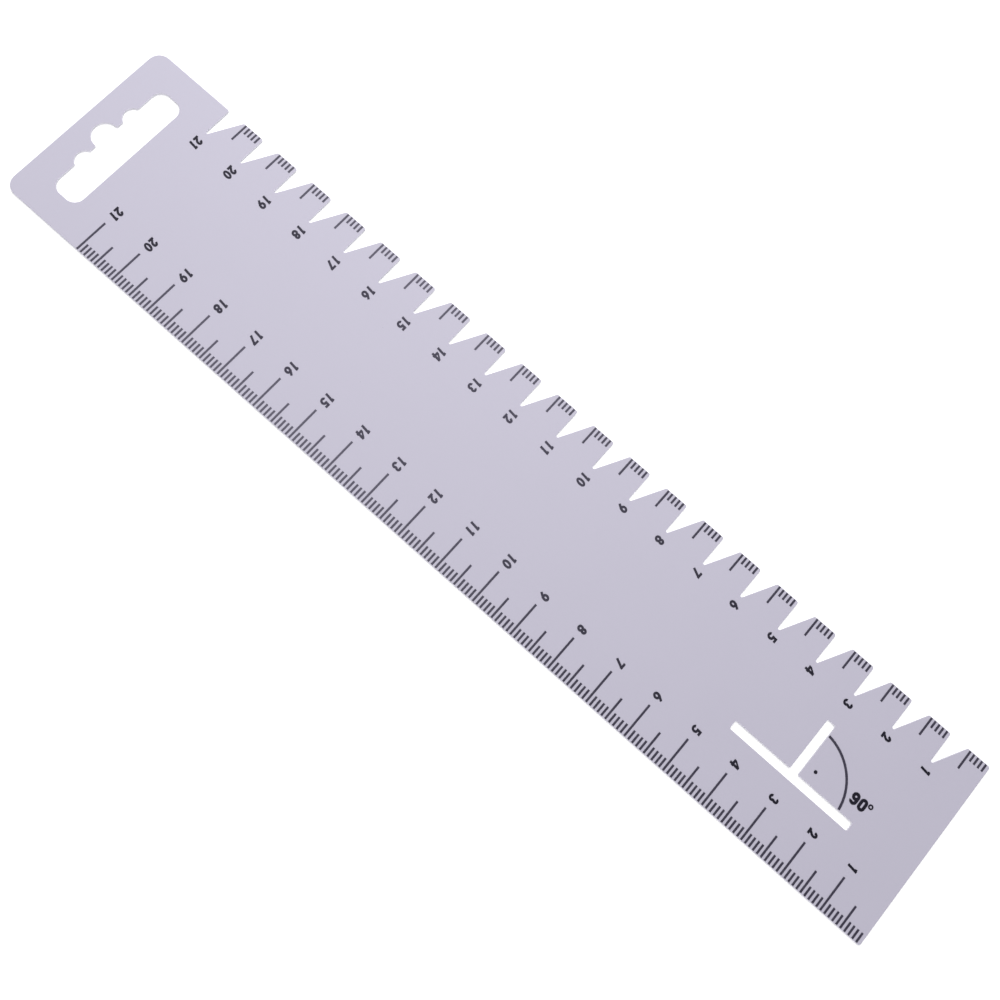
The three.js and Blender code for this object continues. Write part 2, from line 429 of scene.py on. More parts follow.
class ShaderTree(TreeWriter):
    """A material's node tree with the patterns that the finishes share, all on Object coordinates."""

    def __init__(self, name: str) -> None:
        """Starts a material with an empty tree.

        Args:
            name: The name of the material.
        """
        self.material = bpy.data.materials.new(name)
        self.material.use_nodes = True
        super().__init__(self.material.node_tree)
        self.tree.nodes.clear()
        self.place = self.add("ShaderNodeTexCoord").outputs["Object"]

    def noise(self, patch: float, detail: float, place: Any = None) -> Socket:
        """Gives soft noise from 0 to 1, with patches of this size and this many finer layers on them."""
        inputs = {"Vector": place or self.place, "Scale": 1 / patch, "Detail": detail}
        return self.result("ShaderNodeTexNoise", inputs)

    def between(self, value: Any, low: float, high: float, start: float = 0.0, end: float = 1.0) -> Socket:
        """Maps a value that runs from start to end onto low to high, and stops it at both ends."""
        inputs = {"Value": value, "From Min": start, "From Max": end, "To Min": low, "To Max": high}
        return self.result("ShaderNodeMapRange", inputs)

    def blend(self, share: Any, first: Any, second: Any) -> Socket:
        """Blends two colours, where a share of 0 gives the first one and 1 the second."""
        inputs = {"Factor_Float": share, "A_Color": first, "B_Color": second}
        return output_of(self.add("ShaderNodeMix", inputs, data_type="RGBA"), "Result_Color")

    def finish(self, colour: Any, roughness: Any, height: Any, sheen: float) -> Material:
        """Ends the tree with the shader.

        Args:
            colour: The base colour.
            roughness: The roughness.
            height: The height of the surface relief in metres.
            sheen: The specular level.

        Returns:
            The finished material.
        """
        relief = self.result("ShaderNodeBump", {"Height": height, "Distance": 1.0, "Strength": 1.0})
        shader = self.result("ShaderNodeBsdfPrincipled", {
            "Base Color": colour,
            "Roughness": roughness,
            "Normal": relief,
            "Specular IOR Level": sheen,
        })
        self.add("ShaderNodeOutputMaterial", {"Surface": shader})
        return self.material


@dataclass(frozen=True)
class SheetFinish:
    """Pale lavender-grey plastic sheet with a satin face and slightly rougher cut edges, whose paler shade
    is painted light that lifts the walls out of their shade.
    """

    shade: Shade = (199, 195, 212)
    cloudy_shade: Shade = (202, 198, 215)
    speck_shade: Shade = (168, 163, 182)
    # Painted light: the paler shade of the cut edges stands in for light on walls that lie in shade.
    cut_shade: Shade = (234, 232, 242)
    cloud_size: float = 14 * MM
    grain_size: float = 0.22 * MM
    grain_height: float = 0.0012 * MM
    ripple_size: float = 9 * MM
    ripple_height: float = 0.02 * MM
    speck_spacing: float = 1.6 * MM
    speck_radius: float = 0.11 * MM
    speck_rim: float = 0.3
    speck_share: float = 0.05
    scratch_length: float = 30 * MM
    scratch_width: float = 0.12 * MM
    scratch_depth: float = 0.0015 * MM
    scratch_lean: float = math.radians(24)
    scratch_from: float = 0.74
    scratch_full: float = 0.8
    smoothest: float = 0.46
    roughest: float = 0.54
    scratch_wear: float = 0.1
    cut_wear: float = 0.12
    sheen: float = 0.38

    def specks(self, tree: ShaderTree) -> Socket:
        """Scatters small round specks with soft rims, each on its own place.

        Args:
            tree: The material's tree.

        Returns:
            1 on a speck and 0 elsewhere.
        """
        cells = tree.add("ShaderNodeTexVoronoi", {"Vector": tree.place, "Scale": 1 / self.speck_spacing})
        chance = tree.result("ShaderNodeSeparateColor", {"Color": cells.outputs["Color"]})
        largest = self.speck_radius / self.speck_spacing
        reach = tree.between(chance, 0.0, largest, start=1 - self.speck_share, end=1.0)
        inside = tree.calculate("SUBTRACT", reach, cells.outputs["Distance"])
        return tree.between(inside, 0.0, 1.0, start=0.0, end=self.speck_rim * largest)

    def scratches(self, tree: ShaderTree) -> Socket:
        """Draws fine handling scratches, which lean a little across the length.

        Args:
            tree: The material's tree.

        Returns:
            1 in a scratch and 0 elsewhere.
        """
        stretch = (1 / self.scratch_length, 1 / self.scratch_width, 1 / self.scratch_length)
        inputs = {"Vector": tree.place, "Rotation": (0.0, 0.0, self.scratch_lean), "Scale": stretch}
        turned = tree.result("ShaderNodeMapping", inputs, vector_type="POINT")
        streaks = tree.noise(patch=1.0, detail=0.0, place=turned)
        return tree.between(streaks, 0.0, 1.0, start=self.scratch_from, end=self.scratch_full)

    def material(self) -> Material:
        """Makes the finish.

        Returns:
            The material.
        """
        tree = ShaderTree("lavender_sheet")
        clouds = tree.noise(self.cloud_size, detail=3.0)
        grain = tree.noise(self.grain_size, detail=1.0)
        ripple = tree.noise(self.ripple_size, detail=0.0)
        scratch = self.scratches(tree)
        cut = tree.add("ShaderNodeAttribute", attribute_name="cut_edge").outputs["Fac"]
        body = tree.blend(clouds, linear_colour(self.shade), linear_colour(self.cloudy_shade))
        speckled = tree.blend(self.specks(tree), body, linear_colour(self.speck_shade))
        # Painted light: the cut edges are blended towards a paler shade, which lifts the shaded walls.
        colour = tree.blend(cut, speckled, linear_colour(self.cut_shade))
        satin = tree.between(clouds, self.smoothest, self.roughest)
        worn = tree.calculate("MULTIPLY_ADD", scratch, self.scratch_wear, satin)
        roughness = tree.calculate("MULTIPLY_ADD", cut, self.cut_wear, worn)
        grained = tree.calculate("MULTIPLY", grain, self.grain_height)
        waved = tree.calculate("MULTIPLY_ADD", ripple, self.ripple_height, grained)
        height = tree.calculate("MULTIPLY_ADD", scratch, -self.scratch_depth, waved)
        return tree.finish(colour, roughness, height, self.sheen)


@dataclass(frozen=True)
class InkFinish:
    """Blue-black screen ink, a little uneven in its cover, with a painted sheen: the high lamp's reflection,
    painted into its colour so that it is palest near the middle of the scale.
    """

    name: str
    shade: Shade
    thin_shade: Shade
    pale_shade: Shade
    palest_at: float
    pale_reach: float
    cloud_size: float = 0.9 * MM
    thin_from: float = 0.45
    thin_full: float = 0.8
    grain_size: float = 0.09 * MM
    grain_height: float = 0.002 * MM
    smoothest: float = 0.4
    roughest: float = 0.56
    sheen: float = 0.12

    def paleness(self, tree: ShaderTree) -> Socket:
        """Tells how strong the painted sheen, the lamp's reflection painted into the ink's colour, is along
        the ruler.

        Args:
            tree: The material's tree.

        Returns:
            1 where the painted sheen is strongest, and 0 from a reach away from there.
        """
        along = tree.result("ShaderNodeSeparateXYZ", {"Vector": tree.place})
        away = tree.calculate("ABSOLUTE", tree.calculate("SUBTRACT", along, self.palest_at))
        inputs = {"Value": away, "From Max": self.pale_reach, "To Min": 1.0, "To Max": 0.0}
        return tree.result("ShaderNodeMapRange", inputs, interpolation_type="SMOOTHSTEP")

    def material(self) -> Material:
        """Makes the finish.

        Returns:
            The material.
        """
        tree = ShaderTree(self.name)
        cover = tree.noise(self.cloud_size, detail=2.0)
        grain = tree.noise(self.grain_size, detail=1.0)
        thin = tree.between(cover, 0.0, 1.0, start=self.thin_from, end=self.thin_full)
        cloudy = tree.blend(thin, linear_colour(self.shade), linear_colour(self.thin_shade))
        # Painted sheen: the ink is blended towards a paler shade where the lamp's reflection falls.
        colour = tree.blend(self.paleness(tree), cloudy, linear_colour(self.pale_shade))
        roughness = tree.between(grain, self.smoothest, self.roughest)
        height = tree.calculate("MULTIPLY", grain, self.grain_height)
        return tree.finish(colour, roughness, height, self.sheen)


@dataclass(frozen=True)
class CutSheet:
    """The plastic sheet with its toothed edge, its hand slot, its T slot and its softened cut edges."""

    notch_slant: float = math.radians(28.2)
    notch_mouth: float = 4.37 * MM
    notch_past_mark: float = 0.1 * MM
    notch_tip_radius: float = 0.3 * MM
    tooth_corner_radius: float = 0.5 * MM
    handle_corner_radius: float = 3 * MM
    zero_corner_radius: float = 0.5 * MM
    hand_slot_width: float = 7 * MM
    hand_slot_end_margin: float = 7 * MM
    hand_slot_side_margin: float = 6.55 * MM
    hand_slot_corner_radius: float = 2.5 * MM
    scallop_pitch: float = 7 * MM
    middle_scallop_radius: float = 3 * MM
    middle_scallop_depth: float = 3.45 * MM
    side_scallop_radius: float = 2.3 * MM
    side_scallop_depth: float = 1.5 * MM
    scallop_edge_radius: float = 0.5 * MM
    tee_from_zero: float = 30 * MM
    tee_from_edge: float = 15.45 * MM
    tee_bar_length: float = 30 * MM
    tee_height: float = 14.7 * MM
    tee_slot_width: float = 2 * MM
    tee_corner_radius: float = 0.35 * MM
    edge_softness: float = 0.1 * MM
    rim_width: float = 0.25 * MM
    corner_steps: int = 12
    handle_corner_steps: int = 24
    softness_steps: int = 4

    def scallop(self, wall: float, middle: float, radius: float, depth: float) -> Outline:
        """Draws one finger scallop from its upper to its lower end, eased into the wall at both ends.

        Args:
            wall: The x of the wall that it is cut into.
            middle: The y of its middle.
            radius: Its radius.
            depth: How deep it goes behind the wall.

        Returns:
            The points.
        """
        ease = self.scallop_edge_radius
        centre = Vector((wall - depth + radius, middle))
        ease_x = wall - ease
        reach = math.sqrt((radius + ease) ** 2 - (ease_x - centre.x) ** 2)
        lean = math.atan2(reach, ease_x - centre.x)
        upper = arc_points(Vector((ease_x, middle + reach)), ease, 0, lean - math.pi)
        hollow = arc_points(centre, radius, lean, 2 * math.pi - lean)
        lower = arc_points(Vector((ease_x, middle - reach)), ease, math.pi - lean, 0)
        return upper + hollow[1:-1] + lower

    def hand_slot(self) -> Outline:
        """Draws the hand slot, counter-clockwise.

        Returns:
            The points.
        """
        near = SHEET_LOW.x + self.hand_slot_end_margin
        far = near + self.hand_slot_width
        top = SHEET_HIGH.y - self.hand_slot_side_margin
        bottom = SHEET_LOW.y + self.hand_slot_side_margin
        middle = (SHEET_LOW.y + SHEET_HIGH.y) / 2
        r = self.hand_slot_corner_radius
        side = (self.side_scallop_radius, self.side_scallop_depth)
        return [
            *arc_points(Vector((far - r, bottom + r)), r, -QUARTER_TURN, 0),
            *arc_points(Vector((far - r, top - r)), r, 0, QUARTER_TURN),
            *arc_points(Vector((near + r, top - r)), r, QUARTER_TURN, 2 * QUARTER_TURN),
            *self.scallop(near, middle + self.scallop_pitch, *side),
            *self.scallop(near, middle, self.middle_scallop_radius, self.middle_scallop_depth),
            *self.scallop(near, middle - self.scallop_pitch, *side),
            *arc_points(Vector((near + r, bottom + r)), r, 2 * QUARTER_TURN, 3 * QUARTER_TURN),
        ]

    def tee_slot(self) -> Outline:
        """Draws the T slot, counter-clockwise.

        Returns:
            The points.
        """
        middle = SHEET_HIGH.x - self.tee_from_zero
        bottom = SHEET_LOW.y + self.tee_from_edge
        bar_top = bottom + self.tee_slot_width
        stem_top = bottom + self.tee_height
        half_bar = self.tee_bar_length / 2
        half_stem = self.tee_slot_width / 2
        right_half = [(half_bar, bottom), (half_bar, bar_top), (half_stem, bar_top), (half_stem, stem_top)]
        left_half = [(-x, y) for x, y in reversed(right_half)]
        corners = [Vector((middle + x, y)) for x, y in right_half + left_half]
        return rounded_outline(corners, self.tee_corner_radius)

    def slot_outlines(self) -> Piece:
        """Puts both slots into one curve object. They run clockwise, so that the plastic is on their left.

        Returns:
            The curve object.
        """
        curve = bpy.data.curves.new("slot_outlines", "CURVE")
        for points in (self.hand_slot(), self.tee_slot()):
            spline = curve.splines.new("POLY")
            spline.points.add(len(points) - 1)
            for target, point in zip(spline.points, reversed(points)):
                target.co = (point.x, point.y, 0.0, 1.0)
            spline.use_cyclic_u = True
        return add_object("slot_outlines", curve)

    def toothed_outline(self, tree: SizedTree) -> Socket:
        """Draws the sheet's outline by rule, counter-clockwise from the first tooth's corner.

        Each notch has three corners: where its slanted wall meets the edge, its tip, and where its square
        wall meets the edge. The four corners of the sheet come last.

        Args:
            tree: The tree of the sheet.

        Returns:
            The curve.
        """
        size = tree.sizes({
            "Teeth": SCALE_CENTIMETRES,
            "Tooth pitch": CENTIMETRE,
            "Zero end": SHEET_HIGH.x,
            "Handle end": SHEET_LOW.x,
            "Straight edge": SHEET_LOW.y,
            "Toothed edge": SHEET_HIGH.y,
            "Notch mouth": self.notch_mouth,
            "Notch depth": self.notch_mouth / math.tan(self.notch_slant),
            "Notch past mark": self.notch_past_mark,
            "Notch tip radius": self.notch_tip_radius,
            "Tooth corner radius": self.tooth_corner_radius,
            "Handle corner radius": self.handle_corner_radius,
            "Zero corner radius": self.zero_corner_radius,
            "Corner steps": self.corner_steps,
            "Handle corner steps": self.handle_corner_steps,
        })
        corners_of_notch = 3
        corners_of_sheet = 4
        index = tree.index()
        notch_corners = tree.whole("MULTIPLY", size["Teeth"], corners_of_notch)
        notch = tree.whole("DIVIDE_FLOOR", index, corners_of_notch)
        corner = tree.whole("FLOORED_MODULO", index, corners_of_notch)
        along = tree.calculate("MULTIPLY_ADD", notch, size["Tooth pitch"], size["Tooth pitch"])
        mark = tree.calculate("SUBTRACT", size["Zero end"], along)
        square_wall = tree.calculate("SUBTRACT", mark, size["Notch past mark"])
        slanted_wall = tree.calculate("ADD", square_wall, size["Notch mouth"])
        tip = tree.calculate("SUBTRACT", size["Toothed edge"], size["Notch depth"])
        notch_place = tree.pick_place(corner, [
            (slanted_wall, size["Toothed edge"]),
            (square_wall, tip),
            (square_wall, size["Toothed edge"]),
        ])
        end = tree.whole("SUBTRACT", index, notch_corners)
        end_place = tree.pick_place(end, [
            (size["Handle end"], size["Toothed edge"]),
            (size["Handle end"], size["Straight edge"]),
            (size["Zero end"], size["Straight edge"]),
            (size["Zero end"], size["Toothed edge"]),
        ])
        tooth_radius = size["Tooth corner radius"]
        notch_radius = tree.pick(corner, [tooth_radius, size["Notch tip radius"], tooth_radius])
        handle = [size["Handle corner radius"]] * 2
        end_radius = tree.pick(end, handle + [size["Zero corner radius"]] * 2)
        steps = size["Corner steps"]
        end_steps = tree.pick(end, [size["Handle corner steps"]] * 2 + [steps] * 2, "INT")
        at_end = tree.at_least(end, 0)
        return tree.outline(
            corners=tree.whole("ADD", notch_corners, corners_of_sheet),
            place=tree.pick(at_end, [notch_place, end_place], "VECTOR"),
            radius=tree.pick(at_end, [notch_radius, end_radius]),
            steps=tree.pick(at_end, [steps, end_steps], "INT"),
            closed=True,
        )

    def rim_profile(self, tree: SizedTree, size: dict[str, Socket]) -> Socket:
        """Draws half of the sheet's cross-section at an edge, with both edges softened.

        Its points note how far they are round the edge, from 0 on the flat faces to 1 on the wall.

        Args:
            tree: The tree of the sheet.
            size: The thickness, the radius of the softened edges and the width of the rim.

        Returns:
            The curve.
        """
        inside = tree.negative(size["Rim width"])
        top = size["Thickness"]
        places = tree.pick_place(tree.index(), [(inside, top), (0.0, top), (0.0, 0.0), (inside, 0.0)])
        soft = size["Edge softness"]
        profile = tree.outline(corners=4, place=places, radius=soft, steps=self.softness_steps, closed=False)
        here = tree.result("GeometryNodeInputPosition")
        across = tree.result("ShaderNodeSeparateXYZ", {"Vector": here})
        share = tree.calculate("DIVIDE", across, soft)
        round_edge = tree.calculate("MAXIMUM", tree.calculate("ADD", share, 1.0), 0.0)
        inputs = {"Geometry": profile, "Name": "cut_edge", "Value": round_edge}
        return tree.result("GeometryNodeStoreNamedAttribute", inputs, data_type="FLOAT")

    def build(self, material: Material) -> Piece:
        """Makes the sheet where its solid is.

        Args:
            material: The finish of the sheet.

        Returns:
            The sheet.
        """
        tree = SizedTree("cut_sheet")
        size = tree.sizes({
            "Thickness": SHEET_HIGH.z - SHEET_LOW.z,
            "Edge softness": self.edge_softness,
            "Rim width": self.rim_width,
        })
        slots = self.slot_outlines()
        slot_lines = tree.add("GeometryNodeObjectInfo", {"Object": tree.entry("Slots", slots)})
        outlines = tree.joined(self.toothed_outline(tree), slot_lines.outputs["Geometry"])
        walls = tree.sweep(outlines, self.rim_profile(tree, size), caps=False)
        tangent = tree.result("GeometryNodeInputTangent")
        heading = tree.add("ShaderNodeSeparateXYZ", {"Vector": tangent}).outputs
        left_x = tree.negative(tree.calculate("MULTIPLY", heading["Y"], size["Rim width"]))
        left_y = tree.calculate("MULTIPLY", heading["X"], size["Rim width"])
        inputs = {"Geometry": outlines, "Offset": tree.point(left_x, left_y)}
        inner = tree.result("GeometryNodeSetPosition", inputs)
        face = tree.result("GeometryNodeFillCurve", {"Curve": inner}, mode="TRIANGLES")
        whole = tree.joined(walls, tree.raised(face, size["Thickness"]), face)
        placed = tree.raised(whole, SHEET_LOW.z)
        smooth = tree.result("GeometryNodeSetShadeSmooth", {"Geometry": placed})
        sheet = tree.make_piece(smooth, material, Slot.SHEET, SHEET_NODE)
        bpy.data.objects.remove(slots)
        return sheet


@dataclass(frozen=True)
class PrintedLines:
    """The printed lines along one edge: one for each millimetre of a group, in groups a centimetre apart."""

    edge: Edge
    lines_in_group: int
    short_length: float
    fifth_length: float
    tenth_length: float
    replaced_nodes: str
    long_every: int = 5
    line_width: float = 0.46 * MM
    edge_clearance: float = 0.15 * MM
    ink_softness: float = 0.015 * MM
    softness_steps: int = 3

    def lengths(self, tree: SizedTree, place: Socket) -> Socket:
        """Gives each line its length: the fifth and the tenth of a group are longer.

        Args:
            tree: The tree of the lines.
            place: The place of a line in its group, from 1.

        Returns:
            The length.
        """
        size = tree.sizes({
            "Short line": self.short_length,
            "Fifth line": self.fifth_length,
            "Tenth line": self.tenth_length,
        })
        is_short = tree.at_least(tree.whole("FLOORED_MODULO", place, self.long_every), 1)
        long = tree.pick(tree.whole("DIVIDE_FLOOR", place, self.long_every), list(size.values()))
        return tree.pick(is_short, [long, size["Short line"]])

    def profile(self, tree: SizedTree) -> Socket:
        """Draws the cross-section of a line of ink, with its upper edges softened.

        Args:
            tree: The tree of the lines.

        Returns:
            The closed curve.
        """
        right = tree.calculate("MULTIPLY", tree.entry("Line width", self.line_width), 0.5)
        left = tree.negative(right)
        height = tree.entry("Ink thickness", INK_THICKNESS)
        softness = tree.entry("Ink softness", self.ink_softness)
        corner = tree.index()
        places = tree.pick_place(corner, [(left, 0.0), (right, 0.0), (right, height), (left, height)])
        radii = tree.pick(corner, [0.0, 0.0, softness, softness])
        return tree.outline(corners=4, place=places, radius=radii, steps=self.softness_steps, closed=True)

    def build(self, material: Material) -> Piece:
        """Makes the lines of this edge.

        Args:
            material: The ink.

        Returns:
            The lines as one piece.
        """
        inward = 1.0 if self.edge is Edge.STRAIGHT else -1.0
        edge_y = SHEET_LOW.y if self.edge is Edge.STRAIGHT else SHEET_HIGH.y
        tree = SizedTree(f"{self.edge.value}_edge_lines")
        size = tree.sizes({
            "Centimetres": SCALE_CENTIMETRES,
            "Lines in a group": self.lines_in_group,
            "Group pitch": CENTIMETRE,
            "Line pitch": MM,
            "Zero end": SHEET_HIGH.x,
            "Line start": edge_y + inward * self.edge_clearance,
            "Sheet top": SHEET_HIGH.z,
            "Inward": inward,
        })
        index = tree.index()
        in_group = size["Lines in a group"]
        group = tree.whole("DIVIDE_FLOOR", index, in_group)
        place = tree.whole("ADD", tree.whole("FLOORED_MODULO", index, in_group), 1)
        in_centimetre = tree.calculate("MULTIPLY", place, size["Line pitch"])
        along = tree.calculate("MULTIPLY_ADD", group, size["Group pitch"], in_centimetre)
        x = tree.calculate("SUBTRACT", size["Zero end"], along)
        starts = tree.result("GeometryNodePoints", {
            "Count": tree.whole("MULTIPLY", size["Centimetres"], in_group),
            "Position": tree.point(x, size["Line start"], size["Sheet top"]),
        })
        unit = tree.result("GeometryNodeCurvePrimitiveLine", {"Start": (0, 0, 0), "End": (0, 1, 0)})
        run = tree.calculate("MULTIPLY", self.lengths(tree, place), size["Inward"])
        inputs = {"Points": starts, "Instance": unit, "Scale": tree.point(1.0, run, 1.0)}
        lines = tree.result("GeometryNodeInstanceOnPoints", inputs)
        real = tree.result("GeometryNodeRealizeInstances", {"Geometry": lines})
        inked = tree.sweep(real, self.profile(tree), caps=True)
        numbers = range(1, SCALE_CENTIMETRES + 1)
        solids = (f"{self.replaced_nodes}_{number:02d}" for number in numbers)
        return tree.make_piece(inked, material, Slot.INK, *solids)


@dataclass(frozen=True)
class DigitPen:
    """Draws the ten digits with one pen as slanted figures. x is along the text and y is up from its foot.

    A digit is a list of flat pieces that run counter-clockwise and may lie over each other. The angles of
    arcs, and the longest step along one, are in degrees.
    """

    height: float = 2.25 * MM
    pen_width: float = 0.5 * MM
    slant: float = math.radians(4)
    bowl_width: float = 1.38 * MM
    upper_bowl_width: float = 1.24 * MM
    arc_step: float = 15.0

    @property
    def half_pen(self) -> float:
        """Half of the pen's width."""
        return self.pen_width / 2

    @property
    def top(self) -> float:
        """The height of the pen's middle in a stroke along the top."""
        return self.height - self.half_pen

    @property
    def bowl_reach(self) -> float:
        """Half of the width of a full bowl, to the middle of the pen."""
        return (self.bowl_width - self.pen_width) / 2

    @property
    def upper_reach(self) -> float:
        """Half of the width of an upper bowl, to the middle of the pen."""
        return (self.upper_bowl_width - self.pen_width) / 2

    def arc(self, centre: Pair, reach: Pair, start: float, end: float) -> Outline:
        """Gives points along an upright oval.

        Args:
            centre: The centre of the oval.
            reach: Its half-width and half-height.
            start: The angle that it starts at, in degrees.
            end: The angle that it ends at.

        Returns:
            The points.
        """
        points: Outline = []
        steps = math.ceil(abs(end - start) / self.arc_step)
        for step in range(steps + 1):
            angle = math.radians(start + (end - start) * step / steps)
            across = centre[0] + reach[0] * math.cos(angle)
            points.append(Vector((across, centre[1] + reach[1] * math.sin(angle))))
        return points

    def bow(self, centre: Pair, reach: Pair, start: float = 0, end: float = 360) -> list[Outline]:
        """Draws a bowed stroke that runs counter-clockwise, or a whole ring.

        Args:
            centre: The centre of the bow.
            reach: Its half-width and half-height, to the middle of the pen.
            start: The angle that it starts at, in degrees.
            end: The angle that it ends at.

        Returns:
            The pieces of the stroke.
        """
        outer = self.arc(centre, (reach[0] + self.half_pen, reach[1] + self.half_pen), start, end)
        inner = self.arc(centre, (reach[0] - self.half_pen, reach[1] - self.half_pen), start, end)
        return [[inner[n], outer[n], outer[n + 1], inner[n + 1]] for n in range(len(outer) - 1)]

    def bowls(self, waist: float, upper_turn: Pair = (0, 360), lower_turn: Pair = (0, 360)) -> list[Outline]:
        """Draws one bowl on another, or two rings.

        Args:
            waist: The height at which they meet.
            upper_turn: The angles that the upper one starts and ends at, in degrees.
            lower_turn: The angles of the lower one.

        Returns:
            The pieces of the bowls.
        """
        upper = (self.top - waist) / 2
        lower = (waist - self.half_pen) / 2
        upper_bowl = self.bow((0, waist + upper), (self.upper_reach, upper), *upper_turn)
        return upper_bowl + self.bow((0, waist - lower), (self.bowl_reach, lower), *lower_turn)

    def stroke(self, *line: Pair) -> list[Outline]:
        """Draws a stroke along a line, with pointed bends and square ends.

        Args:
            line: The points of its middle line.

        Returns:
            The pieces of the stroke.
        """
        points = [Vector(point) for point in line]
        runs = [(after - here).normalized() for here, after in zip(points, points[1:])]
        left: Outline = []
        right: Outline = []
        for here, run_in, run_out in zip(points, [runs[0], *runs], [*runs, runs[-1]]):
            middle_run = (run_in + run_out).normalized()
            side = Vector((-middle_run.y, middle_run.x)) * self.half_pen / middle_run.dot(run_in)
            left.append(here + side)
            right.append(here - side)
        return [[left[n], right[n], right[n + 1], left[n + 1]] for n in range(len(runs))]

    def zero(self) -> list[Outline]:
        """Draws the zero, an upright oval."""
        return self.bow((0, self.height / 2), (self.bowl_reach, self.top - self.height / 2))

    def one(self) -> list[Outline]:
        """Draws the one, a leaning stem with a small flag.

        Returns:
            The pieces of the digit.
        """
        lean = 0.05 * MM
        flag_tip = (-0.42 * MM, self.top - 0.1 * MM)
        return self.stroke((-lean, 0), (lean, self.height)) + self.stroke(flag_tip, (lean, self.top))

    def two(self) -> list[Outline]:
        """Draws the two: a bow that runs into a slope, and a base.

        Returns:
            The pieces of the digit.
        """
        bow_height = 0.58 * MM
        left = -0.6 * MM
        right = 0.64 * MM
        slope_end = (-0.3 * MM, self.half_pen)
        bow = self.arc((0, self.top - bow_height), (self.upper_reach, bow_height), start=180, end=-38)
        base = self.stroke((left, self.half_pen), (right, self.half_pen))
        return self.stroke(*bow, slope_end) + base

    def three(self) -> list[Outline]:
        """Draws the three: two bowls that are open to the left."""
        return self.bowls(waist=1.14 * MM, upper_turn=(-90, 163), lower_turn=(-176, 90))

    def four(self) -> list[Outline]:
        """Draws the four: a stem, a bar, and a slope from the bar's end to the stem's top.

        Returns:
            The pieces of the digit.
        """
        bar = 0.72 * MM
        stem = 0.16 * MM
        left = -0.87 * MM
        right = 0.56 * MM
        slope_width = 0.42 * MM
        bar_top = bar + self.half_pen
        stem_left = stem - self.half_pen
        rise = (self.height - bar_top) / (stem_left - left)
        slope_end = Vector((stem_left, bar_top + (stem_left - left - slope_width) * rise))
        slope_foot = [Vector((left, bar_top)), Vector((left + slope_width, bar_top))]
        slope = [*slope_foot, slope_end, Vector((stem_left, self.height))]
        upright = self.stroke((stem, 0), (stem, self.height))
        return [slope] + upright + self.stroke((left, bar), (right, bar))

    def five(self) -> list[Outline]:
        """Draws the five: a flag, a short back and a bowl.

        Returns:
            The pieces of the digit.
        """
        bowl_middle = -0.13 * MM
        bowl_reach = (0.5 * MM, 0.54 * MM)
        back = -0.31 * MM
        back_foot = 1.05 * MM
        right = 0.48 * MM
        bowl = self.bow((bowl_middle, self.half_pen + bowl_reach[1]), bowl_reach, start=-156, end=106)
        flag = self.stroke((back, self.top), (right, self.top))
        return bowl + flag + self.stroke((back, self.height), (back, back_foot))

    def six(self) -> list[Outline]:
        """Draws the six: a ring with a straight slope up from its left side.

        Returns:
            The pieces of the digit.
        """
        ring_height = 0.55 * MM
        slope_foot = (-0.46 * MM, 1.1 * MM)
        slope_top = (0.22 * MM, 2.2 * MM)
        ring = self.bow((0, self.half_pen + ring_height), (self.bowl_reach, ring_height))
        return ring + self.stroke(slope_foot, slope_top)

    def seven(self) -> list[Outline]:
        """Draws the seven: a flat top and a straight slope.

        Returns:
            The pieces of the digit.
        """
        left = -0.61 * MM
        right = 0.72 * MM
        slope_foot = (-0.3 * MM, 0.1 * MM)
        flag = self.stroke((left, self.top), (right, self.top))
        return flag + self.stroke(slope_foot, (right - self.half_pen, self.top))

    def eight(self) -> list[Outline]:
        """Draws the eight: two rings, the upper one smaller."""
        return self.bowls(waist=1.18 * MM)

    def nine(self) -> list[Outline]:
        """Draws the nine, which is the six turned half round."""
        return [[Vector((-point.x, self.height - point.y)) for point in piece] for piece in self.six()]

    def digit(self, number: int) -> list[Outline]:
        """Gives the pieces of a digit, slanted about the middle of its height, which becomes y = 0.

        Args:
            number: The digit, from 0 to 9.

        Returns:
            The slanted pieces.
        """
        figures = (self.zero, self.one, self.two, self.three, self.four)
        figures += (self.five, self.six, self.seven, self.eight, self.nine)
        return [[self.slanted(point) for point in piece] for piece in figures[number]()]

    def slanted(self, point: Vector) -> Vector:
        """Leans a point to the right by its height over the digit's middle."""
        up = point.y - self.height / 2
        return Vector((point.x + up * math.tan(self.slant), up))

    def digit_mesh(self, number: int) -> bpy.types.Mesh:
        """Makes one digit of ink: the pieces joined into one flat shape and raised.

        Args:
            number: The digit, from 0 to 9.

        Returns:
            The mesh, with its foot at z = 0.
        """
        points: Outline = []
        faces: list[list[int]] = []
        for piece in self.digit(number):
            faces.append(list(range(len(points), len(points) + len(piece))))
            points += piece
        inside_only = 1
        flat = delaunay_2d_cdt(points, [], faces, inside_only, WELD_DISTANCE)
        places, _, triangles, _, _, sources = flat
        work = bmesh.new()
        corners = [work.verts.new((place.x, place.y, 0.0)) for place in places]
        for triangle, covering_pieces in zip(triangles, sources):
            if covering_pieces:
                work.faces.new([corners[corner] for corner in triangle])
        raised = bmesh.ops.extrude_face_region(work, geom=list(work.faces), use_keep_orig=True)["geom"]
        tops = [item for item in raised if isinstance(item, bmesh.types.BMVert)]
        bmesh.ops.translate(work, verts=tops, vec=(0, 0, INK_THICKNESS))
        loose = [vertex for vertex in work.verts if not vertex.link_faces]
        bmesh.ops.delete(work, geom=loose, context="VERTS")
        mesh = bpy.data.meshes.new(f"digit_{number}")
        work.to_mesh(mesh)
        work.free()
        close_mesh(mesh)
        return mesh

    def digit_collection(self) -> bpy.types.Collection:
        """Makes the ten digits as objects of one collection, whose names put them in order.

        Returns:
            The collection.
        """
        digits = bpy.data.collections.new("pen_digits")
        bpy.context.scene.collection.children.link(digits)
        for number in range(DIGIT_COUNT):
            mesh = self.digit_mesh(number)
            digits.objects.link(bpy.data.objects.new(mesh.name, mesh))
        return digits


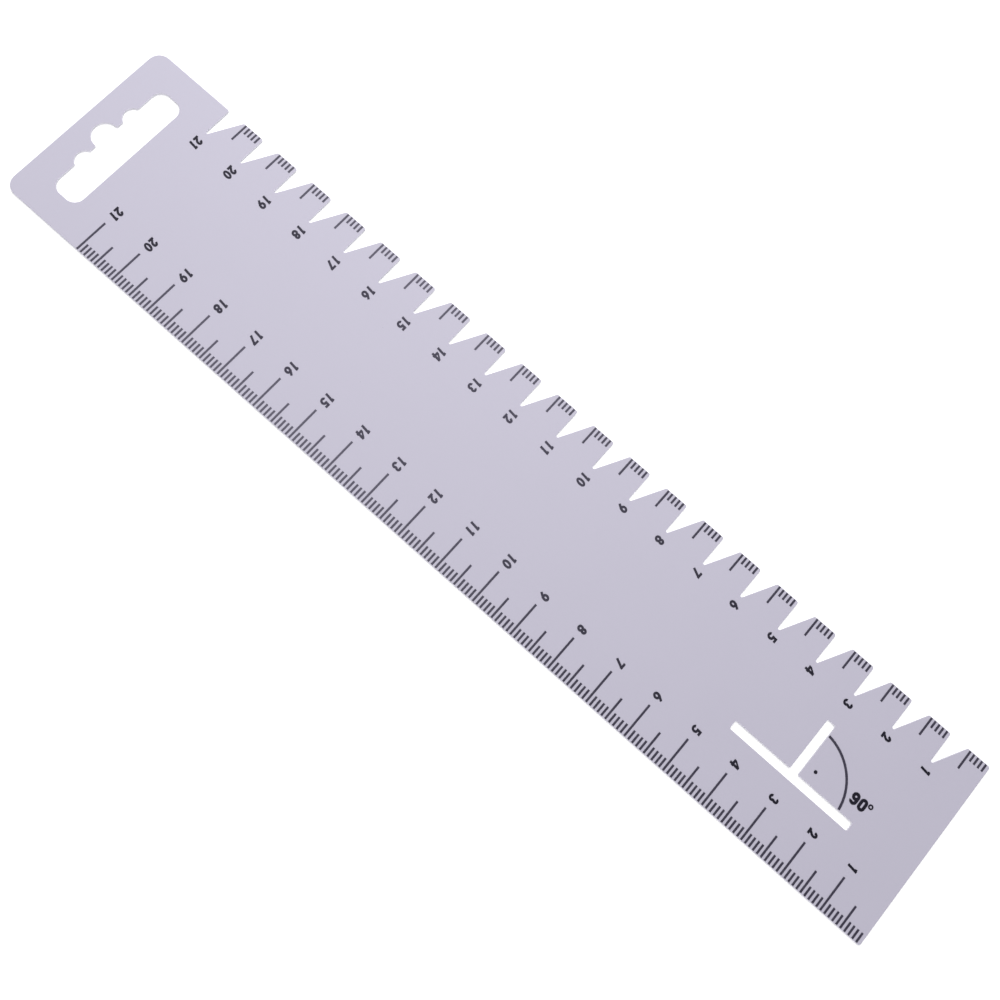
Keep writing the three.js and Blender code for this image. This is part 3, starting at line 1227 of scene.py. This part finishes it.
@dataclass(frozen=True)
class PrintedNumbers:
    """The numbers of one scale. They read from the toothed edge towards the straight one."""

    edge: Edge
    lone_digit: float
    units_digit: float
    tens_digit: float
    above_mark: float = 0.18 * MM

    def build(self, digits: bpy.types.Collection, material: Material) -> Piece:
        """Makes the numbers from 1 to the last centimetre, each with room for two digits.

        Args:
            digits: The ten digits in order.
            material: The ink.

        Returns:
            The numbers as one piece.
        """
        tree = SizedTree(f"{self.edge.value}_edge_numbers")
        size = tree.sizes({
            "Numbers": SCALE_CENTIMETRES,
            "Number pitch": CENTIMETRE,
            "Top of scale": SHEET_HIGH.x + self.above_mark,
            "Lone digit": SHEET_LOW.y + self.lone_digit,
            "Units digit": SHEET_LOW.y + self.units_digit,
            "Tens digit": SHEET_LOW.y + self.tens_digit,
            "Sheet top": SHEET_HIGH.z,
        })
        index = tree.index()
        number = tree.whole("ADD", tree.whole("DIVIDE_FLOOR", index, MOST_DIGITS), 1)
        is_tens = tree.whole("FLOORED_MODULO", index, MOST_DIGITS)
        tens = tree.whole("DIVIDE_FLOOR", number, DIGIT_COUNT)
        digit = tree.pick(is_tens, [tree.whole("FLOORED_MODULO", number, DIGIT_COUNT), tens], "INT")
        has_tens = tree.at_least(tens, 1)
        units_y = tree.pick(has_tens, [size["Lone digit"], size["Units digit"]])
        y = tree.pick(is_tens, [units_y, size["Tens digit"]])
        along = tree.calculate("MULTIPLY", number, size["Number pitch"])
        x = tree.calculate("SUBTRACT", size["Top of scale"], along)
        places = tree.result("GeometryNodePoints", {
            "Count": tree.whole("MULTIPLY", size["Numbers"], MOST_DIGITS),
            "Position": tree.point(x, y, size["Sheet top"]),
        })
        source = tree.entry("Digits", digits)
        inputs = {"Collection": source, "Separate Children": True, "Reset Children": True}
        figures = tree.result("GeometryNodeCollectionInfo", inputs)
        printed = tree.result("GeometryNodeInstanceOnPoints", {
            "Points": places,
            "Selection": tree.calculate("MAXIMUM", has_tens, tree.calculate("SUBTRACT", 1.0, is_tens)),
            "Instance": figures,
            "Pick Instance": True,
            "Instance Index": digit,
            "Rotation": tree.result("FunctionNodeEulerToRotation", {"Euler": (0, 0, -QUARTER_TURN)}),
        })
        return tree.make_piece(printed, material, Slot.INK)


@dataclass(frozen=True)
class RightAngleMark:
    """The arc, the dot and the figures beside the T slot. Their solids stay, in the two inks."""

    lines: tuple[str, ...] = (ARC_NODE,)
    figures: tuple[str, ...] = ("right_angle_dot", "angle_figure_nine", "angle_figure_zero", "degree_ring")

    def dress(self, nodes: tuple[str, ...], material: Material) -> list[Piece]:
        """Gives some solids of the mark their ink.

        Args:
            nodes: The names of the solids.
            material: The ink.

        Returns:
            The dressed nodes.
        """
        marks = [frame["nodes"][name] for name in nodes]
        for mark in marks:
            mark.data.materials.clear()
            mark.data.materials.append(material)
        return marks


@dataclass(frozen=True)
class PhotoCamera:
    """The camera, at the angle of the photograph. Its lens and sensor are in millimetres."""

    place: Place = (29.23 * MM, -66.88 * MM, 250.02 * MM)
    aim: Place = (5.8884 * MM, -2.8156 * MM, 0.0)
    roll: float = math.radians(21.9145)
    lens: float = 45.58
    sensor: float = 36.0
    nearest: float = 10 * MM
    farthest: float = 10.0

    def build(self) -> None:
        """Makes the camera and hands it to the scene."""
        settings = bpy.data.cameras.new("photo_camera")
        settings.lens = self.lens
        settings.sensor_width = self.sensor
        settings.clip_start = self.nearest
        settings.clip_end = self.farthest
        camera = add_object("photo_camera", settings)
        camera.matrix_world = aimed(self.place, self.aim, self.roll)
        bpy.context.scene.camera = camera


@dataclass(frozen=True)
class SoftLamp:
    """A soft oval lamp that faces the ruler."""

    name: str
    width: float
    height: float
    power: float
    place: Place
    aim: Place = (-0.05, 0.0, 0.0)

    def build(self) -> None:
        """Hangs the lamp."""
        settings = bpy.data.lights.new(self.name, "AREA")
        settings.shape = "ELLIPSE"
        settings.size = self.width
        settings.size_y = self.height
        settings.energy = self.power
        add_object(self.name, settings).matrix_world = aimed(self.place, self.aim)


@dataclass(frozen=True)
class Studio:
    """A pale floor, a white surround and soft lamps."""

    floor_half_width: float = 2.0
    floor_gap: float = 0.02 * MM
    floor_shade: Shade = (237, 237, 237)
    near_glow: float = 0.5
    far_glow: float = 1.0
    near_radius: float = 0.3
    far_radius: float = 1.0
    surround_light: float = 0.32
    high_lamp: SoftLamp = SoftLamp("high_lamp", width=0.6, height=0.6, power=2.3, place=(-0.175, 0.252, 0.4))
    low_lamp: SoftLamp = SoftLamp("low_lamp", width=0.8, height=0.16, power=0.8, place=(0.2, -0.4, 0.1))

    def seen_directly(self, tree: TreeWriter) -> Socket:
        """Tells the rays that show the background from those that light the object.

        Args:
            tree: The tree of the floor or of the surround.

        Returns:
            1 for camera, glossy and transmission rays, and 0 for others.
        """
        rays = tree.add("ShaderNodeLightPath").outputs
        mirrored = tree.calculate("MAXIMUM", rays["Is Glossy Ray"], rays["Is Transmission Ray"])
        return tree.calculate("MAXIMUM", rays["Is Camera Ray"], mirrored)

    def floor_material(self) -> Material:
        """Makes the floor's finish: pale, matt, and lifted to white where it is seen, so its shadow stays.

        It is lifted more far from the ruler, where the lamps don't reach.

        Returns:
            The material.
        """
        tree = ShaderTree("pale_floor")
        matt = tree.result("ShaderNodeBsdfDiffuse", {"Color": linear_colour(self.floor_shade)})
        away = tree.add("ShaderNodeVectorMath", {"Vector": tree.place}, operation="LENGTH").outputs["Value"]
        lift = tree.between(away, self.near_glow, self.far_glow, self.near_radius, self.far_radius)
        strength = tree.calculate("MULTIPLY", self.seen_directly(tree), lift)
        glow = tree.result("ShaderNodeEmission", {"Strength": strength})
        both = tree.result("ShaderNodeAddShader", {"Shader": matt, "Shader_001": glow})
        tree.add("ShaderNodeOutputMaterial", {"Surface": both})
        return tree.material

    def floor(self) -> None:
        """Lays the floor just under the ruler."""
        half = self.floor_half_width
        level = SHEET_LOW.z - self.floor_gap
        mesh = bpy.data.meshes.new("studio_floor")
        corners = [(-half, -half, level), (half, -half, level), (half, half, level), (-half, half, level)]
        mesh.from_pydata(corners, [], [(0, 1, 2, 3)])
        mesh.materials.append(self.floor_material())
        add_object("studio_floor", mesh)

    def surround(self) -> None:
        """Makes the world: an even soft light, which is white where it is seen."""
        world = bpy.data.worlds.new("studio_surround")
        world.use_nodes = True
        bpy.context.scene.world = world
        tree = TreeWriter(world.node_tree)
        tree.tree.nodes.clear()
        light = tree.calculate("MAXIMUM", self.seen_directly(tree), self.surround_light)
        sky = tree.result("ShaderNodeBackground", {"Color": (1, 1, 1, 1), "Strength": light})
        tree.add("ShaderNodeOutputWorld", {"Surface": sky})

    def build(self) -> None:
        """Sets up the floor, the surround and two lamps, under the standard view transform.

        The high lamp hangs over the handle end, past the toothed edge. The low one stands past the straight
        edge, towards the zero end.
        """
        bpy.context.scene.view_settings.view_transform = "Standard"
        self.floor()
        self.surround()
        self.high_lamp.build()
        self.low_lamp.build()


# Each ink's pale shade is a painted sheen: the high lamp's reflection, painted into the colour near the
# middle of the scale.
LINE_INK = InkFinish(
    name="line_ink",
    shade=(62, 59, 74),
    thin_shade=(76, 73, 88),
    pale_shade=(99, 96, 111),
    palest_at=-38 * MM,
    pale_reach=90 * MM,
)
FIGURE_INK = InkFinish(
    name="figure_ink",
    shade=(18, 16, 29),
    thin_shade=(32, 30, 45),
    pale_shade=(73, 70, 85),
    palest_at=-13 * MM,
    pale_reach=110 * MM,
)
STRAIGHT_EDGE_LINES = PrintedLines(
    edge=Edge.STRAIGHT,
    lines_in_group=10,
    short_length=2.21 * MM,
    fifth_length=5.27 * MM,
    tenth_length=8.05 * MM,
    replaced_nodes="centimetre_line",
)
TOOTHED_EDGE_LINES = PrintedLines(
    edge=Edge.TOOTHED,
    lines_in_group=5,
    short_length=1.75 * MM,
    fifth_length=4.45 * MM,
    tenth_length=0.0,
    replaced_nodes="notch_line",
)
STRAIGHT_EDGE_NUMBERS = PrintedNumbers(
    edge=Edge.STRAIGHT,
    lone_digit=10.57 * MM,
    units_digit=10.47 * MM,
    tens_digit=11.98 * MM,
)
TOOTHED_EDGE_NUMBERS = PrintedNumbers(
    edge=Edge.TOOTHED,
    lone_digit=35.43 * MM,
    units_digit=33.75 * MM,
    tens_digit=35.24 * MM,
)


def report(piece: Piece) -> None:
    """Logs how many faces a finished piece has."""
    log.info("%s: %d faces", piece.name, len(piece.data.polygons))


def main() -> None:
    logging.basicConfig(level=logging.INFO, format="%(name)s: %(message)s")
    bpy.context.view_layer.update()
    PhotoCamera().build()
    plastic = SheetFinish().material()
    line_ink = LINE_INK.material()
    figure_ink = FIGURE_INK.material()
    report(CutSheet().build(plastic))
    for lines in (STRAIGHT_EDGE_LINES, TOOTHED_EDGE_LINES):
        report(lines.build(line_ink))
    digits = DigitPen().digit_collection()
    for numbers in (STRAIGHT_EDGE_NUMBERS, TOOTHED_EDGE_NUMBERS):
        report(numbers.build(digits, figure_ink))
    for digit in list(digits.objects):
        bpy.data.objects.remove(digit)
    bpy.data.collections.remove(digits)
    mark = RightAngleMark()
    for solid in mark.dress(mark.lines, line_ink) + mark.dress(mark.figures, figure_ink):
        report(solid)
    Studio().build()


if __name__ == "__main__":
    main()
